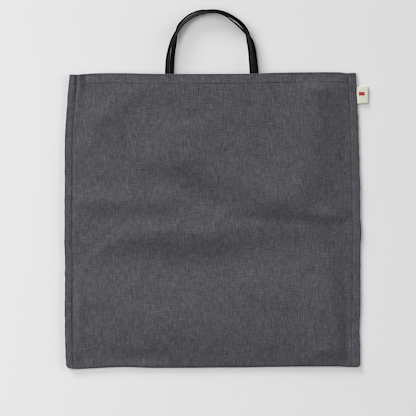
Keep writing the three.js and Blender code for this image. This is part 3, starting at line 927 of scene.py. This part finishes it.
def weaveGroup():  # plain weave of uneven threads: warp runs along y, weft along x
    group, given, result = newGroup(
        "hand woven threads",
        [
            ("Position", "NodeSocketVector", None),
            ("Pitch", "NodeSocketFloat", 0.0009),
            ("Wander", "NodeSocketFloat", 0.5),
        ],
        [("Height", "NodeSocketFloat"), ("Tone", "NodeSocketFloat"), ("Gap", "NodeSocketFloat")],
    )
    position, pitch, wander = (given.outputs[name] for name in ("Position", "Pitch", "Wander"))
    drift = addNode(group, "ShaderNodeTexNoise", {"Vector": position, "Scale": 45.0, "Detail": 1.0})
    centred = vectorMaths(group, "SUBTRACT", {0: drift.outputs["Color"], 1: (0.5, 0.5, 0.5)})
    pitches = addNode(group, "ShaderNodeCombineXYZ", {i: pitch for i in range(3)})
    threadCount = vectorMaths(group, "DIVIDE", {0: position, 1: pitches.outputs[0]})
    moved = vectorMaths(group, "SCALE", {0: centred, 3: wander})
    threads = vectorMaths(group, "ADD", {0: threadCount, 1: moved})
    split = addNode(group, "ShaderNodeSeparateXYZ", {0: threads})
    u, v = split.outputs[0], split.outputs[1]
    waveU = maths(group, "SINE", times(group, u, math.pi))
    waveV = maths(group, "SINE", times(group, v, math.pi))
    sign = times(group, times(group, waveU, waveV), 2.5)
    over = addNode(group, "ShaderNodeMapRange", {0: sign, 1: -1.0, 2: 1.0, 3: 0.0, 4: 1.0}).outputs[0]
    under = maths(group, "SUBTRACT", 1.0, over)

    def threadTone(index, along, alongScale, seed):
        row = maths(group, "MULTIPLY_ADD", maths(group, "FLOOR", index), 3.71, seed)
        place = {0: row, 1: times(group, along, alongScale), 2: seed}
        vector = addNode(group, "ShaderNodeCombineXYZ", place)
        return noise(group, vector.outputs[0], 1.0, detail=2.0, roughness=0.6)

    def threadHeight(wave, shown, tone):
        ridge = maths(group, "POWER", maths(group, "ABSOLUTE", wave), 0.7)
        return times(group, times(group, ridge, shown), maths(group, "ADD", tone, 0.5))

    warpTone = threadTone(u, v, 0.11, 0.37)
    weftTone = threadTone(v, u, 0.13, 17.3)
    warpHeight = threadHeight(waveU, over, warpTone)
    height = maths(group, "MAXIMUM", warpHeight, threadHeight(waveV, under, weftTone))
    tone = addNode(group, "ShaderNodeMix", {0: over, 2: weftTone, 3: warpTone}).outputs[0]
    # Gap marks where the threads sink; the materials paint shade into the colour there
    gap = addNode(group, "ShaderNodeMapRange", {0: height, 1: 0.0, 2: 0.45, 3: 1.0, 4: 0.0}).outputs[0]
    for name, value in (("Height", height), ("Tone", tone), ("Gap", gap)):
        group.links.new(value, result.inputs[name])
    return group


# uneven yarn seen from afar: long light and dark streaks both ways, and soft blotches
def slubGroup():
    group, given, result = newGroup(
        "slub streaks",
        [("Position", "NodeSocketVector", None)],
        [("Upright", "NodeSocketFloat"), ("Level", "NodeSocketFloat"), ("Blotch", "NodeSocketFloat")],
    )
    position = given.outputs["Position"]
    for name, size in (("Upright", (900, 110, 300)), ("Level", (130, 800, 300))):
        streak = noise(group, stretched(group, position, size), 1.0, 3.0, 0.6)
        group.links.new(streak, result.inputs[name])
    group.links.new(noise(group, position, 48.0, 3.0, 0.55), result.inputs["Blotch"])
    return group


weave, slub = weaveGroup(), slubGroup()


def newMaterial(name):
    material = bpy.data.materials.new(name)
    material.use_nodes = True
    tree = material.node_tree
    return material, tree, tree.nodes["Principled BSDF"]


def useGroup(tree, group, inputs):
    return addNode(tree, "ShaderNodeGroup", inputs, node_tree=group)


def centredTone(tree, value, strength):  # 1 plus strength times how far a noise lies from its middle
    return maths(tree, "MULTIPLY_ADD", maths(tree, "SUBTRACT", value, 0.5), strength, 1.0)


clothLook = dict(
    color=(0.0888, 0.0867, 0.1),
    pitch=0.00092,
    wander=0.6,
    threadTone=1.2,
    upright=1.7,
    level=1.2,
    blotch=0.3,
    # gapShade is painted shade: how much darker the colour is made in the gaps between threads
    gapShade=0.42,
    darkest=0.15,
    bump=0.55,
    bumpDistance=0.00035,
    roughness=0.84,
    blotchRoughness=0.12,
    specular=0.25,
    sheen=0.12,
)


def clothMaterial():
    material, tree, shader = newMaterial("dark grey hand woven cloth")
    position = objectPosition(tree)
    weaving = {"Position": position, "Pitch": clothLook["pitch"], "Wander": clothLook["wander"]}
    threads = useGroup(tree, weave, weaving)
    streaks = useGroup(tree, slub, {"Position": position})
    tone = centredTone(tree, threads.outputs["Tone"], clothLook["threadTone"])
    for name in ("upright", "level", "blotch"):
        tone = times(tree, tone, centredTone(tree, streaks.outputs[name.capitalize()], clothLook[name]))
    # painted shade: the colour darkens where the threads sink into the gaps between them
    dark = maths(tree, "MULTIPLY_ADD", threads.outputs["Gap"], -clothLook["gapShade"], 1.0)
    tone = maths(tree, "MAXIMUM", times(tree, tone, dark), clothLook["darkest"])
    tree.links.new(scaled(tree, clothLook["color"], tone), shader.inputs["Base Color"])
    blotch = streaks.outputs["Blotch"]
    rough = maths(tree, "MULTIPLY_ADD", blotch, clothLook["blotchRoughness"], clothLook["roughness"])
    tree.links.new(rough, shader.inputs["Roughness"])
    bumped(tree, shader, clothLook["bump"], clothLook["bumpDistance"], threads.outputs["Height"])
    shader.inputs["Specular IOR Level"].default_value = clothLook["specular"]
    shader.inputs["Sheen Weight"].default_value = clothLook["sheen"]
    shader.inputs["Sheen Roughness"].default_value = 0.5
    return material


threadLook = dict(
    sewing=dict(dark=(0.018, 0.018, 0.022), light=(0.045, 0.044, 0.052)),
    red=dict(dark=(0.42, 0.02, 0.025), light=(0.6, 0.05, 0.05)),
    twist=2600.0,
    bump=0.4,
    bumpDistance=0.0001,
    roughness=0.6,
)


def threadMaterial(name, tones):
    material, tree, shader = newMaterial(name)
    twist = noise(tree, objectPosition(tree), threadLook["twist"], 1.0)
    twoTones(tree, shader, twist, tones["dark"], tones["light"])
    bumped(tree, shader, threadLook["bump"], threadLook["bumpDistance"], twist)
    shader.inputs["Roughness"].default_value = threadLook["roughness"]
    return material


leatherLook = dict(
    dark=(0.003, 0.003, 0.0035),
    light=(0.009, 0.009, 0.01),
    grain=26.0,
    wearSize=(3, 1.2, 1),
    wearRoughness=0.2,
    bump=0.15,
    bumpDistance=0.0002,
    roughness=0.42,
    specular=0.14,
)


def leatherMaterial():
    material, tree, shader = newMaterial("glossy black leather")
    uv = addNode(tree, "ShaderNodeTexCoord").outputs["UV"]
    grain = {"Vector": uv, "Scale": leatherLook["grain"]}
    cells = addNode(tree, "ShaderNodeTexVoronoi", grain).outputs["Distance"]
    worn = noise(tree, stretched(tree, uv, leatherLook["wearSize"]), 1.0, 3.0)
    twoTones(tree, shader, worn, leatherLook["dark"], leatherLook["light"])
    rough = maths(tree, "MULTIPLY_ADD", worn, leatherLook["wearRoughness"], leatherLook["roughness"])
    tree.links.new(rough, shader.inputs["Roughness"])
    bumped(tree, shader, leatherLook["bump"], leatherLook["bumpDistance"], cells)
    shader.inputs["Specular IOR Level"].default_value = leatherLook["specular"]
    return material


tapeLook = dict(
    color=(0.74, 0.73, 0.625),
    pitch=0.00042,
    wander=0.2,
    threadTone=0.25,
    # gapShade is painted shade: how much darker the tape's colour is made in the gaps between threads
    gapShade=0.2,
    bump=0.4,
    bumpDistance=0.00015,
    roughness=0.85,
)


def tapeMaterial():
    material, tree, shader = newMaterial("cream woven tape")
    weaving = {"Position": objectPosition(tree), "Pitch": tapeLook["pitch"], "Wander": tapeLook["wander"]}
    threads = useGroup(tree, weave, weaving)
    tone = centredTone(tree, threads.outputs["Tone"], tapeLook["threadTone"])
    # painted shade: the tape's colour darkens where the threads sink into the gaps between them
    dark = maths(tree, "MULTIPLY_ADD", threads.outputs["Gap"], -tapeLook["gapShade"], 1.0)
    tree.links.new(scaled(tree, tapeLook["color"], times(tree, tone, dark)), shader.inputs["Base Color"])
    bumped(tree, shader, tapeLook["bump"], tapeLook["bumpDistance"], threads.outputs["Height"])
    shader.inputs["Roughness"].default_value = tapeLook["roughness"]
    return material


clothBag.data.materials.append(clothMaterial())
thread = threadMaterial("dark sewing thread", threadLook["sewing"])
for piece in stitchPieces:
    piece.data.materials.append(thread)
leather = leatherMaterial()
for piece in straps:
    piece.data.materials.append(leather)
tapeLabel.data.materials.append(tapeMaterial())
redBar.data.materials.append(threadMaterial("red thread", threadLook["red"]))
print("materials are ready")

# floor and studio light; a sun's azimuth goes in degrees from the right towards the mouth
studio = dict(
    floor=(0.79, 0.79, 0.79),
    world=0.08,
    suns=[
        dict(name="broad light", energy=0.98, azimuth=132, elevation=64, spread=50),
        dict(name="low light", energy=2.0, azimuth=124, elevation=18, spread=18),
        dict(name="side light", energy=0.95, azimuth=5, elevation=24, spread=40),
    ],
    fill=dict(energy=16.0, place=(-1.3, 0.0, 1.5), size=1.2),
    sharpening=0.045,
)
floorCorners = np.array([[-4, -4, 0], [4, -4, 0], [4, 4, 0], [-4, 4, 0]]) + [0, 0, -0.0002]
floor = meshObject("floor", floorCorners, [(0, 1, 2, 3)])
floorMaterial, floorTree, floorShader = newMaterial("pale studio floor")
floorTone = centredTone(floorTree, noise(floorTree, objectPosition(floorTree), 3.0, 2.0), 0.02)
floorTree.links.new(scaled(floorTree, studio["floor"], floorTone), floorShader.inputs["Base Color"])
floorShader.inputs["Roughness"].default_value = 0.9
floor.data.materials.append(floorMaterial)


def addLight(name, kind, place, energy):  # shines towards the middle of the bag
    data = bpy.data.lights.new(name, kind)
    data.energy = energy
    made = bpy.data.objects.new(name, data)
    made.location = place
    made.rotation_euler = (-Vector(place)).to_track_quat("-Z", "Y").to_euler()
    bpy.context.collection.objects.link(made)
    return data


for sun in studio["suns"]:
    turn, up = math.radians(sun["azimuth"]), math.radians(sun["elevation"])
    place = (math.cos(turn) * math.cos(up), math.sin(turn) * math.cos(up), math.sin(up))
    addLight(sun["name"], "SUN", place, sun["energy"]).angle = math.radians(sun["spread"])
fill = studio["fill"]
addLight("fill light", "AREA", fill["place"], fill["energy"]).size = fill["size"]
world = bpy.data.worlds.new("studio")
world.use_nodes = True
world.node_tree.nodes["Background"].inputs["Color"].default_value = (1, 1, 1, 1)
world.node_tree.nodes["Background"].inputs["Strength"].default_value = studio["world"]
bpy.context.scene.world = world
bpy.context.scene.view_settings.view_transform = "Standard"

# the photo is a little sharpened
bpy.context.scene.use_nodes = True
picture = bpy.context.scene.node_tree
picture.nodes.clear()
layers = picture.nodes.new("CompositorNodeRLayers")
sharpenInputs = {"Fac": studio["sharpening"], "Image": layers.outputs["Image"]}
sharpen = addNode(picture, "CompositorNodeFilter", sharpenInputs, filter_type="SHARPEN")
addNode(picture, "CompositorNodeComposite", {"Image": sharpen.outputs["Image"]})
print("studio is ready")
